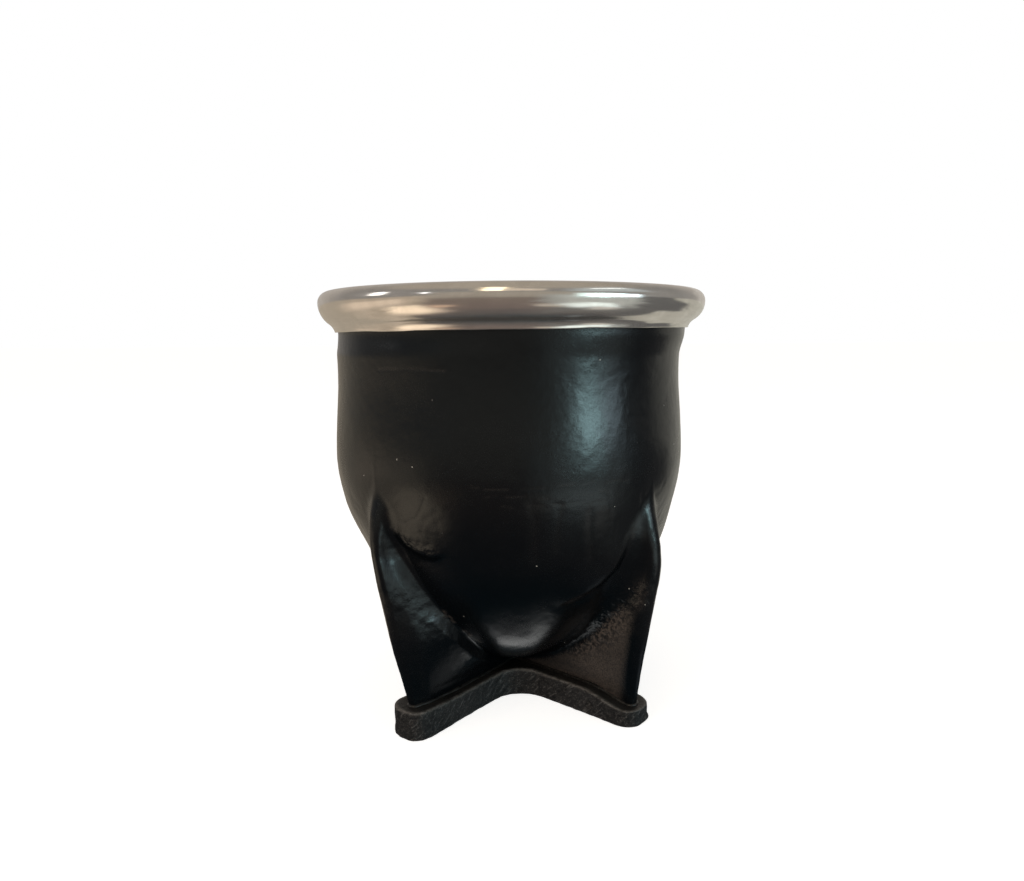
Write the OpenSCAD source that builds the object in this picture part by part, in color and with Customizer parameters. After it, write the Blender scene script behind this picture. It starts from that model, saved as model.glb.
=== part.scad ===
// Mate cup: a gourd bowl in a seamless leather cover whose surplus is pinched
// into fins under the bowl, with a spun metal rim and a cross-shaped sole.
// Millimetres, +Z up, origin on the floor under the middle of the sole.

/* [Overall] */
// Height of the cup from the floor to the crest of the rim
cup_h = 93.6; // [88:0.1:114]
// Number of fins pinched in the leather, and of arms on the sole
fin_count = 4; // [3:1:5]

/* [Covered body] */
// Outer radius of the leather where the bowl is widest
belly_r = 39.8; // [33:0.1:48]
// Height above the floor of the widest place
belly_z = 57.5; // [48:0.5:62]
// How much narrower the leather is at the waist under the rim, in radius
waist_in = 0.9; // [0:0.1:2]
// Depth of the waist below the crest of the rim
waist_drop = 17.6; // [14:0.1:22]
// Height of the leather under the bowl above the cement on the sole
bowl_lift = 0.4; // [0.2:0.1:4]
// Roundness of the bowl's underside: 2 is half an ellipse, less is more pointed
bowl_round = 1.7; // [1.5:0.05:2.2]

/* [Gourd] */
// Thickness of the gourd's wall
gourd_wall = 6; // [3:0.5:9]

/* [Leather cover] */
// Thickness of one layer of leather
leather_t = 1.6; // [1.2:0.1:2.4]
// Film of glue between the gourd and the leather
glue_gap = 0.2; // [0.2:0.05:0.4]
// How far the folded edge of a fin stands out past the belly, where it is furthest out
fin_proud = 1.5; // [0.5:0.05:2]
// Lean of the straight lower part of a fin's edge, outwards going up
fin_lean = 12; // [8:0.1:16]
// Depth below the belly where the straight part of a fin's edge ends
fin_shoulder_drop = 24.5; // [22:0.5:28]
// Radius of the curve that brings the edge back to the bowl
fin_shoulder_r = 35; // [28:1:42]
// Turn of the fins' feet and the sole against the bowl, as the fins were twisted by hand
foot_turn = 2.7; // [0:0.1:5]
// Half thickness of a fin at its foot, where the fold is pressed thin
foot_half_t = 1; // [0.8:0.1:2]
// Radius of the crease between a fin and the bowl
crease_r = 1.6; // [1:0.1:3]
// Radius of the same crease where the fold fades out
fade_crease_r = 9; // [6:0.5:12]
// Half thickness of the fold where it fades out
fade_half_t = 4; // [3:0.1:5]

/* [Rim] */
// Thickness of the rim's sheet metal
sheet_t = 0.5; // [0.4:0.05:0.8]
// Radius of the roll below the rim's widest place
roll_r = 5.2; // [4:0.1:6.5]
// Radius of the shoulder above the rim's widest place
shoulder_r = 2.4; // [2:0.1:3.5]
// Radius of the hollow curve that ends in the lip on the leather
lip_r = 3; // [2:0.1:6]
// Radius of the crown between the shoulder and the mouth
crown_r = 30; // [24:1:60]
// Radius of the roll into the mouth
mouth_roll_r = 3.2; // [2:0.1:4]
// How much wider the mouth is than the gourd's waist behind it, in radius
skirt_step = 0.5; // [0:0.1:1.5]
// Depth of the skirt's lower end below the crest
skirt_depth = 18; // [14:0.5:24]
// Depth of the gourd's and the leather's cut edge below the crest
seat_depth = 7; // [6:0.1:8.5]
// Clearance of the rim to the leather, the gourd and the bedding
rim_gap = 0.1; // [0.05:0.01:0.2]

/* [Sole] */
// Thickness of the sole
sole_t = 6; // [4:0.1:7.5]
// Width of an arm of the sole
sole_arm_w = 9; // [7:0.1:11]
// How far an arm stands out past the foot of its fin
sole_toe = 1.55; // [1:0.05:4]
// Radius of the corners at an arm's end
sole_corner_r = 3.8; // [2:0.1:4.2]
// Radius between two arms
sole_crotch_r = 8; // [2:0.1:10]
// Thickness of the cement between the sole and the cover
cement_t = 0.3; // [0.2:0.05:0.5]
// How far the cement is squeezed out past the leather
cement_bead = 0.6; // [0.2:0.1:1]

/* [Hidden] */
$fn = 96;

// Bearings: the first fin points half a sector off the X axis
sector = 360 / fin_count;
first_fin = sector / 2;

// Levels and radii
cover_z = sole_t + cement_t;
seat_z = cup_h - seat_depth;
underside_z = cover_z + bowl_lift;
body_depth = belly_z - underside_z;
waist_z = cup_h - waist_drop;
waist_r = belly_r - waist_in;
gourd_inset = leather_t + glue_gap;
mouth_r = waist_r - gourd_inset - gourd_wall + skirt_step;

// Meshing of the cover: points along half a fin and half a valley, and rings
fin_n = 10;
valley_n = 5;
half_n = fin_n + valley_n;
ring_n = 2 * half_n * fin_count;
lining_n = ring_n / 2;
fin_rings = 22;
wall_rings = 8;
lining_rings = 14;
// Share of the point spacing that is drawn towards the fold and the crease
crowding = 0.75;
// Height of a fold over the leather at which it counts as lost
fade_step = 0.25;

function ease(t) = let (u = min(1, max(0, t))) u * u * (3 - 2 * u);
function mix(a, b, t) = a + (b - a) * t;
function reversed(list) = [for (i = [len(list) - 1:-1:0]) list[i]];
function but_last(list) = [for (i = [0:len(list) - 2]) list[i]];
function arc(centre, r, from, to, steps) =
    [for (i = [0:steps]) let (a = mix(from, to, i / steps)) centre + r * [cos(a), sin(a)]];

// Covered body: half a superellipse below the belly, a shallow wave to the waist above it

function wall_r(z) = mix(waist_r, belly_r, (1 + cos(180 * (z - belly_z) / (waist_z - belly_z))) / 2);
function bowl_r(z) =
    belly_r * pow(max(0, 1 - pow(max(0, belly_z - z) / body_depth, bowl_round)), 1 / bowl_round);
function body_r(z) = z >= belly_z ? wall_r(z) : bowl_r(z);

// Point of the bowl's profile at a turn of 0, under the bowl, to 90, at the belly
function bowl_point(turn, inset) =
    [(belly_r - inset) * pow(sin(turn), 2 / bowl_round),
     belly_z - (body_depth - inset) * pow(cos(turn), 2 / bowl_round)];

// Profile of the body taken in by inset, from the axis under the bowl up to top
function body_path(inset, top, low_steps = 24, wall_steps = 12) = concat(
    [for (i = [0:low_steps]) bowl_point(90 * i / low_steps, inset)],
    [for (i = [1:wall_steps]) let (z = mix(belly_z, top, i / wall_steps)) [wall_r(z) - inset, z]]);

// Rim: a chain of tangent arcs from the lip on the leather over the crown into the mouth

// Turns from the vertical where the roll passes into the lip, and at the lip's end
lip_turn = 56;
lip_end_turn = 15;
lip_drop = lip_r * (sin(lip_turn) - sin(lip_end_turn));
rim_wide_z = cup_h - shoulder_r;
lip_z = rim_wide_z - roll_r * sin(lip_turn) - lip_drop;
lip_out_r = wall_r(lip_z) + rim_gap + sheet_t;
rim_r = lip_out_r + roll_r * (1 - cos(lip_turn)) + lip_r * (cos(lip_end_turn) - cos(lip_turn));
roll_c = [rim_r - roll_r, rim_wide_z];
shoulder_c = [rim_r - shoulder_r, rim_wide_z];
lip_c = roll_c + (roll_r + lip_r) * [cos(lip_turn), -sin(lip_turn)];
crown_c = [shoulder_c.x, cup_h - crown_r];
crown_in_r = (mouth_r + mouth_roll_r - mouth_roll_r * shoulder_c.x / crown_r) / (1 - mouth_roll_r / crown_r);
crown_turn = asin((shoulder_c.x - crown_in_r) / crown_r);
mouth_roll_c = crown_c + (crown_r - mouth_roll_r) * [-sin(crown_turn), cos(crown_turn)];

// Line of the rim's sheet, moved into the metal by inset
function rim_path(inset) = concat(
    arc(lip_c, lip_r + inset, 180 - lip_end_turn, 180 - lip_turn, 8),
    arc(roll_c, roll_r - inset, -lip_turn, 0, 12),
    arc(shoulder_c, shoulder_r - inset, 0, 90, 16),
    arc(crown_c, crown_r - inset, 90, 90 + crown_turn, 8),
    arc(mouth_roll_c, mouth_roll_r - inset, 90 + crown_turn, 180, 14),
    [[mouth_r + inset, cup_h - skirt_depth]]);

// Cover: rings of points, each the outline of a round body with pinched fins

// Folded edge of a fin: straight up from its foot, then an arc, whose top is furthest out
fin_shoulder_z = belly_z - fin_shoulder_drop;
edge_top_z = fin_shoulder_z + fin_shoulder_r * sin(fin_lean);
edge_top_r = belly_r + fin_proud;
shoulder_edge_r = edge_top_r - fin_shoulder_r * (1 - cos(fin_lean));
fin_foot_r = shoulder_edge_r - (fin_shoulder_z - cover_z) * tan(fin_lean);
function fin_r(z) = z <= fin_shoulder_z
    ? fin_foot_r + (z - cover_z) * tan(fin_lean)
    : edge_top_r - fin_shoulder_r + sqrt(max(0, pow(fin_shoulder_r, 2) - pow(z - edge_top_z, 2)));

// Height at which the fold is lost in the body, by halving
function fade_z(low, high, steps = 24) = let (mid = (low + high) / 2)
    steps == 0 ? low
    : fin_r(mid) > body_r(mid) + fade_step ? fade_z(mid, high, steps - 1) : fade_z(low, mid, steps - 1);
fin_top_z = fade_z(edge_top_z, belly_z);

// Turn of a fin at height z, which falls evenly from its foot to where its edge is furthest out
function twist(z) = foot_turn * max(0, (edge_top_z - z) / (edge_top_z - cover_z));

function fade(z) = ease((z - edge_top_z) / (fin_top_z - edge_top_z));
function rise(z) = min(1, max(0, (z - cover_z) / (fin_shoulder_z - cover_z)));
function fold_half_t(z) = mix(mix(foot_half_t, leather_t, rise(z)), fade_half_t, fade(z));
function fold_crease_r(z) = mix(crease_r, fade_crease_r, fade(z));

// Radius between two fins: the body, and below it the stem, a little wider than where the creases meet
stem_spare = 0.4;
stem_r = (foot_half_t + crease_r) / sin(sector / 2) - crease_r + stem_spare;
function valley_r(z) = pow(pow(stem_r, 3) + pow(body_r(z), 3), 1 / 3);

// Half outline at height z with the fin along +X: fold, flank, crease, then the round of the body
function half_outline(z) =
    let (valley = valley_r(z), t = fold_half_t(z), g = fold_crease_r(z), fold_x = fin_r(z) - t,
         flank_end_x = sqrt(pow(valley + g, 2) - pow(t + g, 2)),
         standing = flank_end_x < fold_x,
         met_x = (pow(valley + g, 2) - pow(t + g, 2) + pow(fold_x, 2)) / (2 * fold_x),
         crease = standing ? [flank_end_x, t + g] : [met_x, sqrt(pow(valley + g, 2) - pow(met_x, 2))],
         fold_turn = standing ? 90 : atan2(crease.y, crease.x - fold_x),
         body_turn = atan2(crease.y, crease.x),
         crease_turn = fold_turn - body_turn,
         fold_l = t * fold_turn * PI / 180,
         flank_l = standing ? fold_x - flank_end_x : 0,
         crease_l = g * crease_turn * PI / 180,
         length = fold_l + flank_l + crease_l)
    concat(
        [for (i = [0:fin_n]) let (u = i / fin_n, s = length * (u - crowding * sin(360 * u) / (2 * PI)))
            s <= fold_l ? [fold_x, 0] + t * [cos(fold_turn * s / fold_l), sin(fold_turn * s / fold_l)]
            : s < fold_l + flank_l ? [fold_x - (s - fold_l), t]
            : let (a = 180 + fold_turn - crease_turn * (s - fold_l - flank_l) / crease_l)
                crease + g * [cos(a), sin(a)]],
        [for (i = [1:valley_n]) let (a = mix(body_turn, sector / 2, i / valley_n))
            valley * [cos(a), sin(a)]]);

// Half outline above the fins: a circle whose points spread evenly as evenness goes to 1
function half_circle(z, bearings, evenness) =
    [for (i = [0:half_n]) let (a = mix(bearings[i], sector / 2 * i / half_n, evenness))
        body_r(z) * [cos(a), sin(a)]];

// A whole ring from a half outline, mirrored at each fin and turned to each bearing
function ring(half, z) =
    [for (k = [0:fin_count - 1]) let (b = first_fin + k * sector + twist(z))
        for (j = [-half_n:half_n - 1]) let (p = half[abs(j)], y = j < 0 ? -p.y : p.y)
            [p.x * cos(b) - y * sin(b), p.x * sin(b) + y * cos(b), z]];

// Turns of the bowl's profile at the lowest ring and where the fins end
low_turn = 5;
fade_turn = acos(pow((belly_z - fin_top_z) / body_depth, bowl_round / 2));
fin_levels = [for (i = [0:fin_rings]) bowl_point(mix(low_turn, fade_turn, i / fin_rings), 0).y];
top_half = half_outline(fin_top_z);
top_bearings = [for (p = top_half) atan2(p.y, p.x)];

outer_rings = concat(
    [for (z = concat([cover_z], fin_levels)) ring(half_outline(z), z)],
    [for (i = [1:wall_rings]) let (z = mix(fin_top_z, seat_z, i / wall_rings))
        ring(half_circle(z, top_bearings, ease(3 * i / wall_rings)), z)]);

// The lining lies on the gourd, with half as many points round
lining_path = reversed(body_path(leather_t, seat_z, lining_rings, 4));
lining_levels = len(lining_path) - 1;
function lining_ring(p) =
    [for (i = [0:lining_n - 1]) let (a = first_fin - sector / 2 + 360 * i / lining_n)
        [p.x * cos(a), p.x * sin(a), p.y]];

function joined(lists) = [for (list = lists) each list];
// Two triangles for each side of a wall from one ring of n points to the next
function wall_faces(from, to, n) = joined([for (i = [0:n - 1]) let (j = (i + 1) % n)
    [[from + i, to + i, to + j], [from + i, to + j, from + j]]]);

module cover_solid() {
    outer_levels = len(outer_rings);
    lining_start = outer_levels * ring_n;
    lining_end = lining_start + (lining_levels - 1) * lining_n;
    foot_centre = lining_end + lining_n;
    pole = foot_centre + 1;
    points = concat(
        joined(outer_rings),
        joined([for (i = [0:lining_levels - 1]) lining_ring(lining_path[i])]),
        [[0, 0, cover_z], [0, 0, lining_path[lining_levels].y]]);
    rim_start = lining_start - ring_n;
    faces = concat(
        joined([for (i = [0:outer_levels - 2]) wall_faces(i * ring_n, (i + 1) * ring_n, ring_n)]),
        joined([for (i = [0:lining_levels - 2])
            wall_faces(lining_start + i * lining_n, lining_start + (i + 1) * lining_n, lining_n)]),
        [for (i = [0:ring_n - 1]) [foot_centre, i, (i + 1) % ring_n]],
        [for (i = [0:lining_n - 1])
            [lining_end + i, pole, lining_end + (i + 1) % lining_n]],
        joined([for (i = [0:lining_n - 1]) let (
            a = rim_start + 2 * i, b = a + 1, c = rim_start + (2 * i + 2) % ring_n,
            d = lining_start + i, e = lining_start + (i + 1) % lining_n)
            [[a, d, b], [b, d, e], [b, e, c]]]));
    polyhedron(points, faces);
}

// Arms from the middle, with rounded ends and a fillet between neighbours, as one outline.
// A corner is limited by the arm it rounds.
module star(arm_w, reach, corner, crotch) {
    half = arm_w / 2;
    round = min(corner, 0.9 * half);
    tip = [reach - round, half - round];
    fillet = [(half + crotch) / tan(sector / 2), half + crotch];
    arm = concat(
        arc([fillet.x, -fillet.y], crotch, 180 - sector / 2, 90, 6),
        arc([tip.x, -tip.y], round, -90, 0, 8),
        arc(tip, round, 0, 90, 8),
        but_last(arc(fillet, crotch, 270, 180 + sector / 2, 6)));
    polygon([for (k = [0:fin_count - 1]) let (b = first_fin + foot_turn + k * sector)
        for (p = arm) [p.x * cos(b) - p.y * sin(b), p.x * sin(b) + p.y * cos(b)]]);
}

module gourd_bowl() {
    color("#b08a56") rotate_extrude() difference() {
        polygon(concat(body_path(gourd_inset, seat_z), [[0, seat_z]]));
        polygon(concat(body_path(gourd_inset + gourd_wall, cup_h), [[0, cup_h]]));
        translate([0, cup_h - skirt_depth - rim_gap])
            square([mouth_r + sheet_t + rim_gap, skirt_depth]);
    }
}

module leather_cover() {
    color("#17181a") cover_solid();
}

module metal_rim() {
    color("#b9b2a6") rotate_extrude() polygon(concat(rim_path(0), reversed(rim_path(sheet_t))));
}

// Resin in the hollow of the rim, above the cut edges of the gourd and the leather
module rim_bedding() {
    bed_inset = sheet_t + rim_gap;
    color("#d8cdb4") rotate_extrude() intersection() {
        polygon(rim_path(bed_inset));
        translate([mouth_r, seat_z]) square([rim_r - mouth_r, seat_depth]);
    }
}

module cross_sole() {
    color("#242321") linear_extrude(sole_t)
        star(sole_arm_w, fin_foot_r + sole_toe, sole_corner_r, sole_crotch_r);
}

module sole_cement() {
    cement_w = 2 * (foot_half_t + cement_bead);
    color("#0c0c0d") translate([0, 0, sole_t]) linear_extrude(cement_t)
        star(cement_w, fin_foot_r + cement_bead, cement_bead, crease_r);
}

gourd_bowl();
leather_cover();
metal_rim();
rim_bedding();
cross_sole();
sole_cement();
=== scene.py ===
import math

import bpy
import numpy as np
from mathutils import Matrix, Vector


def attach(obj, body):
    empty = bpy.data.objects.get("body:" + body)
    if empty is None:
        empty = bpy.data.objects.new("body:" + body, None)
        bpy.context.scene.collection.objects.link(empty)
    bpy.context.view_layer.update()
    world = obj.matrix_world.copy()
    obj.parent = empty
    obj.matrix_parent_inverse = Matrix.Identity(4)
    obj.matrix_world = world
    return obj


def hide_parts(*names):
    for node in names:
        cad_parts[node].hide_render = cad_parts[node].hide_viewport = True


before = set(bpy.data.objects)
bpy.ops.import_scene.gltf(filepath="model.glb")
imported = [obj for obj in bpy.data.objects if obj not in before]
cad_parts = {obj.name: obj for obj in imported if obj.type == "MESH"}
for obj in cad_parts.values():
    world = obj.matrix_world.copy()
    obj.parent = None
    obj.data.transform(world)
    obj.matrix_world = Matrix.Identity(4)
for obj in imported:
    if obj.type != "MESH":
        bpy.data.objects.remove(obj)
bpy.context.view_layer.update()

# Gourd bowl: the dried shell of a gourd, cut flat at the mouth and scraped out by hand.
# Its inside is left raw, so it is lumpy, fibrous and stained; the leather hides the outside.
# A shallow rebate at the mouth takes the skirt of the metal rim.
mm = 0.001
belly_r, belly_z = 39.8, 57.5
waist_r, waist_z = 38.9, 76.0
underside_z = 6.7
bowl_round = 1.7
body_depth = belly_z - underside_z
seat_z = 86.6
gourd_inset, gourd_wall = 1.8, 6.0
skirt_low_z, mouth_r, sheet_t, rim_gap = 75.6, 31.6, 0.5, 0.1
scraped_to_z, scrape_fade = 73.0, 4.0
gourd_turns = 160


def wall_r(z):
    wave = (1 + np.cos(np.pi * (z - belly_z) / (waist_z - belly_z))) / 2
    return waist_r + (belly_r - waist_r) * wave


def body_r(z):
    """Radius of the body at a height: a rounded bowl below the belly, a waisted wall above it."""
    z = np.asarray(z, float)
    share = np.maximum(0, belly_z - z) / body_depth
    bowl = belly_r * np.maximum(0, 1 - share ** bowl_round) ** (1 / bowl_round)
    return np.where(z >= belly_z, wall_r(z), bowl)


def body_path(inset, top, bowl_steps, wall_steps):
    """Line of (radius, height) pairs up the body, set back by inset, from the pole to the top."""
    turn = np.linspace(0, np.pi / 2, bowl_steps + 1)
    bowl = np.stack([(belly_r - inset) * np.sin(turn) ** (2 / bowl_round),
                     belly_z - (body_depth - inset) * np.abs(np.cos(turn)) ** (2 / bowl_round)], 1)
    z = np.linspace(belly_z, top, wall_steps + 1)[1:]
    return np.concatenate([bowl, np.stack([wall_r(z) - inset, z], 1)])


def spin(line, turn):
    """Points of a line of (radius, height) pairs turned round the axis, one ring for each pair."""
    return np.stack([np.outer(line[:, 0], np.cos(turn)), np.outer(line[:, 0], np.sin(turn)),
                     np.repeat(line[:, 1:], len(turn), 1)], 2).reshape(-1, 3)


def even_turns(n):
    return np.arange(n) * 2 * np.pi / n


def lumps(points, size, seed):
    """Smooth noise from -1 to 1 at points in mm, with lumps of the given size."""
    p = np.asarray(points, float) / size + 19.7 * seed
    cell = np.floor(p).astype(np.int64)
    f = p - cell
    w = f * f * f * (f * (6 * f - 15) + 10)
    total = np.zeros(len(p))
    for corner in np.ndindex(2, 2, 2):
        c = cell + np.array(corner)
        h = (c[:, 0] * 374761393 + c[:, 1] * 668265263 + c[:, 2] * 1274126177 + seed * 362437) & 0xFFFFFFFF
        h = ((h ^ (h >> 13)) * 1103515245) & 0xFFFFFFFF
        h = ((h ^ (h >> 16)) * 69069) & 0xFFFFFFFF
        share = np.prod(np.where(np.array(corner) == 1, w, 1 - w), axis=1)
        total += share * ((h >> 8) / 8388608.0 - 1)
    return total


def strip_faces(rows, n):
    """Quads of a tube of rows rings with n points each."""
    i = np.arange(n)
    j = (i + 1) % n
    quads = [np.stack([k * n + i, k * n + j, (k + 1) * n + j, (k + 1) * n + i], 1) for k in range(rows - 1)]
    return np.concatenate(quads).tolist()


def fan_faces(centre, ring_start, n, upwards):
    """Triangles that close a ring of n points round its centre."""
    ring = [(ring_start + i, ring_start + (i + 1) % n) for i in range(n)]
    return [(centre, a, b) if upwards else (centre, b, a) for a, b in ring]


def mesh_piece(name, points_mm, faces, finish):
    mesh = bpy.data.meshes.new(name)
    mesh.from_pydata((np.asarray(points_mm) * mm).tolist(), [], faces)
    mesh.polygons.foreach_set("use_smooth", np.ones(len(mesh.polygons), bool))
    mesh.materials.append(finish)
    mesh.update()
    piece = bpy.data.objects.new(name, mesh)
    bpy.context.scene.collection.objects.link(piece)
    return piece


def new_finish(name):
    finish = bpy.data.materials.new(name)
    finish.use_nodes = True
    return finish, finish.node_tree, finish.node_tree.nodes["Principled BSDF"]


def put(tree, kind, sockets=None, **settings):
    """Adds a node; a socket's value is a number, a colour or another node's output."""
    node = tree.nodes.new("ShaderNode" + kind)
    for key, value in settings.items():
        setattr(node, key, value)
    for key, value in (sockets or {}).items():
        if isinstance(value, bpy.types.NodeSocket):
            tree.links.new(value, node.inputs[key])
        else:
            node.inputs[key].default_value = value
    return node


def where(tree, stretch=(1, 1, 1)):
    """Place on the object in metres, stretched along its axes."""
    place = put(tree, "TexCoord").outputs["Object"]
    return put(tree, "Mapping", {"Vector": place, "Scale": stretch}).outputs[0]


def grain(tree, place, size_mm, detail=3.0, rough=0.55, distort=0.0):
    return put(tree, "TexNoise", {"Vector": place, "Scale": 1000 / size_mm, "Detail": detail,
                                  "Roughness": rough, "Distortion": distort}).outputs["Fac"]


def between(tree, value, low, high, to_low=0.0, to_high=1.0):
    """Eases from to_low to to_high while the value goes from low to high."""
    return put(tree, "MapRange", {"Value": value, "From Min": low, "From Max": high, "To Min": to_low,
                                  "To Max": to_high}, interpolation_type="SMOOTHSTEP").outputs[0]


def blend(tree, share, a, b):
    """Colour a where share is 0, b where it is 1."""
    return put(tree, "Mix", {0: share, 6: a, 7: b}, data_type="RGBA").outputs[2]


def layered(tree, ground, layers):
    """Colour of a ground with (share, colour) layers laid over it in turn."""
    for share, colour in layers:
        ground = blend(tree, share, ground, colour)
    return ground


def raised(tree, height, depth_mm, strength, under=None):
    sockets = {"Height": height, "Distance": depth_mm * mm, "Strength": strength}
    if under is not None:
        sockets["Normal"] = under
    return put(tree, "Bump", sockets).outputs[0]


def lay_finish(tree, shader, colour, roughness, normal):
    for socket, value in (("Base Color", colour), ("Roughness", roughness), ("Normal", normal)):
        tree.links.new(value, shader.inputs[socket])


inside = body_path(gourd_inset + gourd_wall, skirt_low_z - rim_gap, 44, 14)
outside = body_path(gourd_inset, seat_z, 28, 16)[::-1]
rebate_r = mouth_r + sheet_t + rim_gap
rebate = [[rebate_r, skirt_low_z - rim_gap], [rebate_r, seat_z]]
gourd_line = np.concatenate([inside[1:], rebate, outside[:-1]])
rings = spin(gourd_line, even_turns(gourd_turns))
poles = np.array([[0, 0, inside[0, 1]], [0, 0, outside[-1, 1]]])
gourd_points = np.concatenate([rings, poles])
scraped = gourd_points[:(len(inside) - 1) * gourd_turns]
scrape = 0.40 * lumps(scraped, 13, 1) + 0.16 * lumps(scraped * [1, 1, 0.35], 3.5, 2)
scrape *= np.clip((scraped_to_z - scraped[:, 2]) / scrape_fade, 0, 1)
outward = scraped * [1, 1, 0.6] - [0, 0, 0.6 * belly_z]
outward /= np.linalg.norm(outward, axis=1, keepdims=True)
scraped += outward * scrape[:, None]
last_ring = (len(gourd_line) - 1) * gourd_turns
gourd_faces = [quad[::-1] for quad in strip_faces(len(gourd_line), gourd_turns)]
gourd_faces += fan_faces(len(rings), 0, gourd_turns, True)
gourd_faces += fan_faces(len(rings) + 1, last_ring, gourd_turns, False)

dark_pith, pale_pith = (0.36, 0.225, 0.105, 1), (0.54, 0.385, 0.205, 1)
fibre_brown, tea_stain = (0.24, 0.135, 0.06, 1), (0.20, 0.125, 0.06, 1)
raw_gourd, tree, shader = new_finish("raw_gourd")
spot = where(tree)
fibre = grain(tree, where(tree, (1, 1, 0.18)), 0.9, 5.0, 0.6, 0.6)
mottle = grain(tree, spot, 9.0, 4.0, 0.6, 0.4)
stain = grain(tree, spot, 24.0, 2.0, 0.5)
pith = layered(tree, dark_pith, [
    (between(tree, mottle, 0.35, 0.7), pale_pith),
    (between(tree, fibre, 0.5, 0.75, 0.0, 0.55), fibre_brown),
    (between(tree, stain, 0.5, 0.75, 0.0, 0.6), tea_stain)])
fibrous = raised(tree, fibre, 0.25, 0.8, raised(tree, mottle, 0.5, 0.5))
lay_finish(tree, shader, pith, between(tree, fibre, 0.2, 0.8, 0.85, 0.6), fibrous)

gourd = mesh_piece("gourd_bowl_scraped", gourd_points, gourd_faces, raw_gourd)
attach(gourd, "root")
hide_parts("gourd_bowl")

# Leather cover: one piece of black hide, soaked, pulled over the gourd and left to dry on it.
# The surplus below the belly is pinched into four fins with folded edges and tight creases,
# so the skin has no seam; drying leaves wrinkles, scuffs and a fine grain.
leather_t, foot_half_t, cover_z = 1.6, 1.3, 6.3
fin_shoulder_z, fin_shoulder_r, fin_top_z = 33.0, 35.0, 55.5
# Half thickness of a fin by height: pressed thin at the foot, fullest low down, spread out at its head
fin_half_t = [(cover_z, foot_half_t), (10, 1.9), (14, 2.2), (21, 2.5), (30, 2.3), (40, 2.0), (fin_top_z, 4.5)]
head_softness = 0.6
foot_turn, straight_z = 2.7, 40.3
foot_spread, foot_spread_z = 0.16, 9.0
stem_r = 2.477
# The bowl sits a little to the left in its cover, between the fins and the rim
bowl_shift = -0.8
crease_room = 0.69
fold_wander = 0.22
back_right, back_left, front_left, front_right = 0, 1, 2, 3
clockwise, counter = 0, 1
# Lean of each fin's folded edge, its furthest reach, how thick the fin is against the others, and how
# far its plane wanders, as it was pinched by hand
fin_edges = {back_right: (12.0, 41.1, 1.0), back_left: (12.0, 41.1, 0.85), front_left: (12.6, 41.6, 0.68),
             front_right: (11.5, 40.7, 1.0)}
fin_wander = {back_right: 0.55, back_left: 0.55, front_left: 0.15, front_right: 0.55}
# For each side of each fin: (height, radius) pairs of its crease, and (height, slant) pairs of its face,
# which turns out from the folded edge to the crease by so many degrees
fin_sides = {
    (front_left, counter): ([(6, 1.2), (34, 1.2), (44, 1.6), (48, 4.0), (fin_top_z, 8)],
                            [(8, 0), (12, 7), (17, 15), (22, 19), (34, 18), (44, 15)]),
    (front_right, clockwise): ([(6, 1.6), (14, 2.6), (22, 5.0), (30, 6.6), (41, 7.5), (fin_top_z, 9)],
                               [(8, 0), (16, -3), (44, -3)]),
    (front_left, clockwise): ([(6, 1.6), (20, 1.8), (34, 2.6), (fin_top_z, 9)], [(8, 0), (20, 6), (44, 12)]),
    (front_right, counter): ([(6, 1.3), (30, 1.5), (42, 3.0), (fin_top_z, 9)], [(8, 0), (22, 9), (44, 16)]),
    (back_right, clockwise): ([(6, 1.4), (18, 2.2), (30, 4.2), (42, 5.5), (fin_top_z, 9)], [(8, 0), (44, 6)]),
    (back_right, counter): ([(6, 1.5), (32, 1.6), (42, 2.6), (fin_top_z, 9)], [(8, 0), (24, 11), (44, 18)]),
    (back_left, clockwise): ([(6, 1.3), (16, 1.6), (26, 3.8), (40, 6.0), (fin_top_z, 9)], [(8, 0), (44, 5)]),
    (back_left, counter): ([(6, 1.4), (34, 1.6), (42, 2.4), (fin_top_z, 9)], [(8, 0), (22, 8), (44, 16)]),
}
# How much thinner the sole is at the tip of each arm, so that the foot of the fin is lower there
tip_sag = {back_right: 0.3, back_left: 0.4, front_left: -0.4, front_right: 2.2}
# Points on half a fin's outline, and outlines from the foot to the mouth
half_n, n_levels = 92, 270
# How wide the search for a mark's surroundings is, in degrees for each mm of its reach
search_deg_per_mm = 2.2


def ease(t):
    u = np.clip(t, 0, 1)
    return u * u * (3 - 2 * u)


def twist(z):
    """Degrees by which a fin is turned at a height: most at its foot."""
    return foot_turn * np.maximum(0, (straight_z - z) / (straight_z - cover_z))


def arm_way(k):
    """Direction of a fin's foot and of the arm of the sole under it."""
    a = math.radians(45 + foot_turn + 90 * k)
    return np.array([math.cos(a), math.sin(a)])


def sag(places):
    return sum(drop * ease((places @ arm_way(k) - 23) / 12) for k, drop in tip_sag.items())


def fullness(z):
    """How far the front of the front left fin stands out: it leans back towards its head."""
    return 1.1 * math.exp(-((z - 19) / (20 if z < 19 else 9)) ** 2) - 0.9 * math.exp(-((z - 42) / 8) ** 2)


def along_height(z, pairs):
    """Value at a height from (height, value) pairs, with the corners rounded off."""
    return float(np.mean(np.interp(z + np.linspace(-3, 3, 9), *zip(*pairs))))


def valley_r(z):
    return (stem_r ** 3 + body_r(z) ** 3) ** (1 / 3)


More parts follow.
